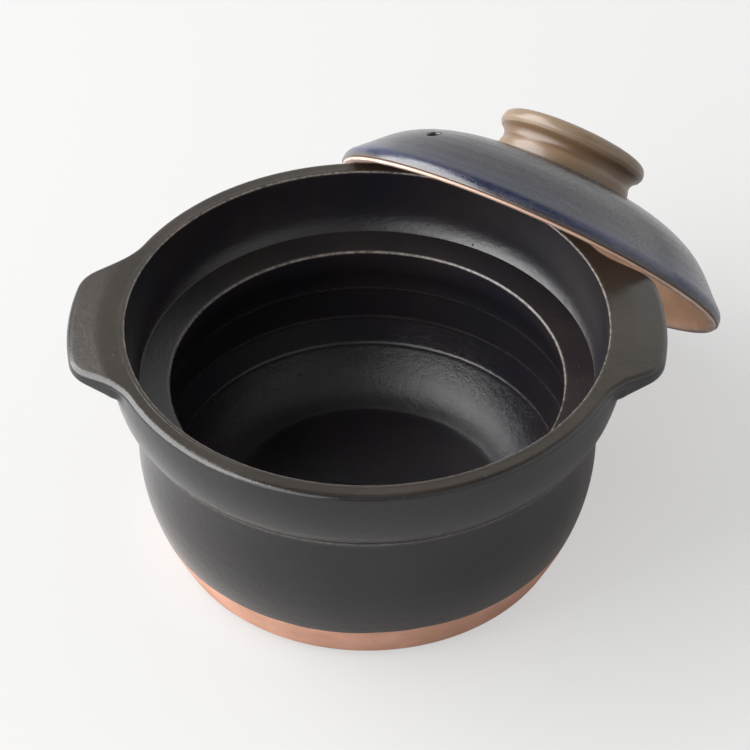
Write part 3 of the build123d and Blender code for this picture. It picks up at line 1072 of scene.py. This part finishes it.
def knob_glaze():
    """Beige glaze with faint turned rings, and painted shade in the hollow of the waist."""
    n = Nodes("beige_clay", own=True)
    rings = n.noise(300.0, 3.0, 0.6, vector=n.turned(0.01, wander=0.002))
    colour = n.tint(n.ramp(rings, 0.3, 0.7), knob_rings)
    # Painted shade in the hollow of the waist
    colour = n.mix(n.ramp(n.radius, *knob_waist_shade_span), colour, rgb(*knob_waist_shade))
    colour = n.mix(n.ramp(n.height, *knob_foot_span), colour, rgb(*knob_foot))
    normal = n.bump(rings, knob_ring_depth, strength=0.6)
    normal = n.bump(n.noise(420.0, 2.0, 0.5), knob_grain_depth, normal=normal)
    return n.finish(n.shader(Base_Color=colour, Roughness=0.32, IOR=1.5, Normal=normal))


# Stage, lights and camera


def build_floor():
    """A wide floor. The camera sees part of its colour as a glow, so that its shadows are pale."""
    n = Nodes("floor")
    plain = n.shader(Base_Color=(*floor_colour, 1), Roughness=0.7)
    glow = n.add("ShaderNodeEmission", {"Color": (*floor_glow, 1)}).outputs[0]
    seen = n.add("ShaderNodeLightPath").outputs["Is Camera Ray"]
    share = n.times(seen, floor_glow_share)
    floor_shader = n.add("ShaderNodeMixShader", {0: share, 1: plain, 2: glow}).outputs[0]
    corners = [(x * floor_reach, y * floor_reach, 0) for x, y in ((-1, -1), (1, -1), (1, 1), (-1, 1))]
    mesh = mesh_of("floor", corners, [(0, 1, 2, 3)])
    floor = bpy.data.objects.new("floor", mesh)
    bpy.context.scene.collection.objects.link(floor)
    mesh.materials.append(n.finish(floor_shader))


def add_panel(name, bearing, elevation, distance, size, radiance):
    """A soft rectangular lamp that faces the pot. Its bearing turns from the front towards the left."""
    data = bpy.data.lights.new(name, "AREA")
    data.shape = "RECTANGLE"
    data.size, data.size_y = size
    data.energy = radiance * pi * size[0] * size[1]
    lamp = bpy.data.objects.new(name, data)
    turn, rise = radians(bearing), radians(elevation)
    way = Vector((-sin(turn) * cos(rise), -cos(turn) * cos(rise), sin(rise)))
    lamp.location = panel_aim + way * distance
    lamp.rotation_euler = (-way).to_track_quat("-Z", "Y").to_euler()
    bpy.context.scene.collection.objects.link(lamp)


def build_world():
    """Pale light from all round, brighter at the back and right than at the front, and dim overhead."""
    world = bpy.data.worlds.new("world")
    bpy.context.scene.world = world
    world.use_nodes = True
    tree = world.node_tree

    def linked(kind, inputs, **settings):
        return add_node(tree, kind, inputs, settings).outputs

    def ranged(value, span, levels):
        names = ("From Min", "From Max", "To Min", "To Max")
        return linked("ShaderNodeMapRange", {"Value": value, **dict(zip(names, (*span, *levels)))})[0]

    way = linked("ShaderNodeTexCoord", {})["Generated"]
    side = linked("ShaderNodeVectorMath", {0: way, 1: world_bright_side}, operation="DOT_PRODUCT")["Value"]
    level = ranged(side, world_side_span, world_levels)
    up = linked("ShaderNodeSeparateXYZ", {0: way})["Z"]
    dim = ranged(up, world_overhead_span, (1.0, world_overhead_share))
    strength = linked("ShaderNodeMath", {0: level, 1: dim}, operation="MULTIPLY")[0]
    background = tree.nodes["Background"]
    background.inputs["Color"].default_value = (1, 1, 1, 1)
    tree.links.new(strength, background.inputs["Strength"])


def build_camera():
    """The camera of the photograph."""
    data = bpy.data.cameras.new("camera")
    data.sensor_width = sensor_width
    data.lens = focal_pixels / image_size * sensor_width
    camera = bpy.data.objects.new("camera", data)
    ahead = Vector((0, cos(camera_pitch), -sin(camera_pitch)))
    camera.location = camera_target - ahead * camera_distance
    camera.rotation_euler = (pi / 2 - camera_pitch, 0, 0)
    bpy.context.scene.collection.objects.link(camera)
    bpy.context.scene.camera = camera


place = lid_place()
build_pot(dark_glaze())
build_lid(lid_glaze(), place)
build_knob(knob_glaze(), place)
build_floor()
build_world()
for panel in panels:
    add_panel(*panel)
build_camera()
bpy.context.scene.view_settings.view_transform = "Standard"
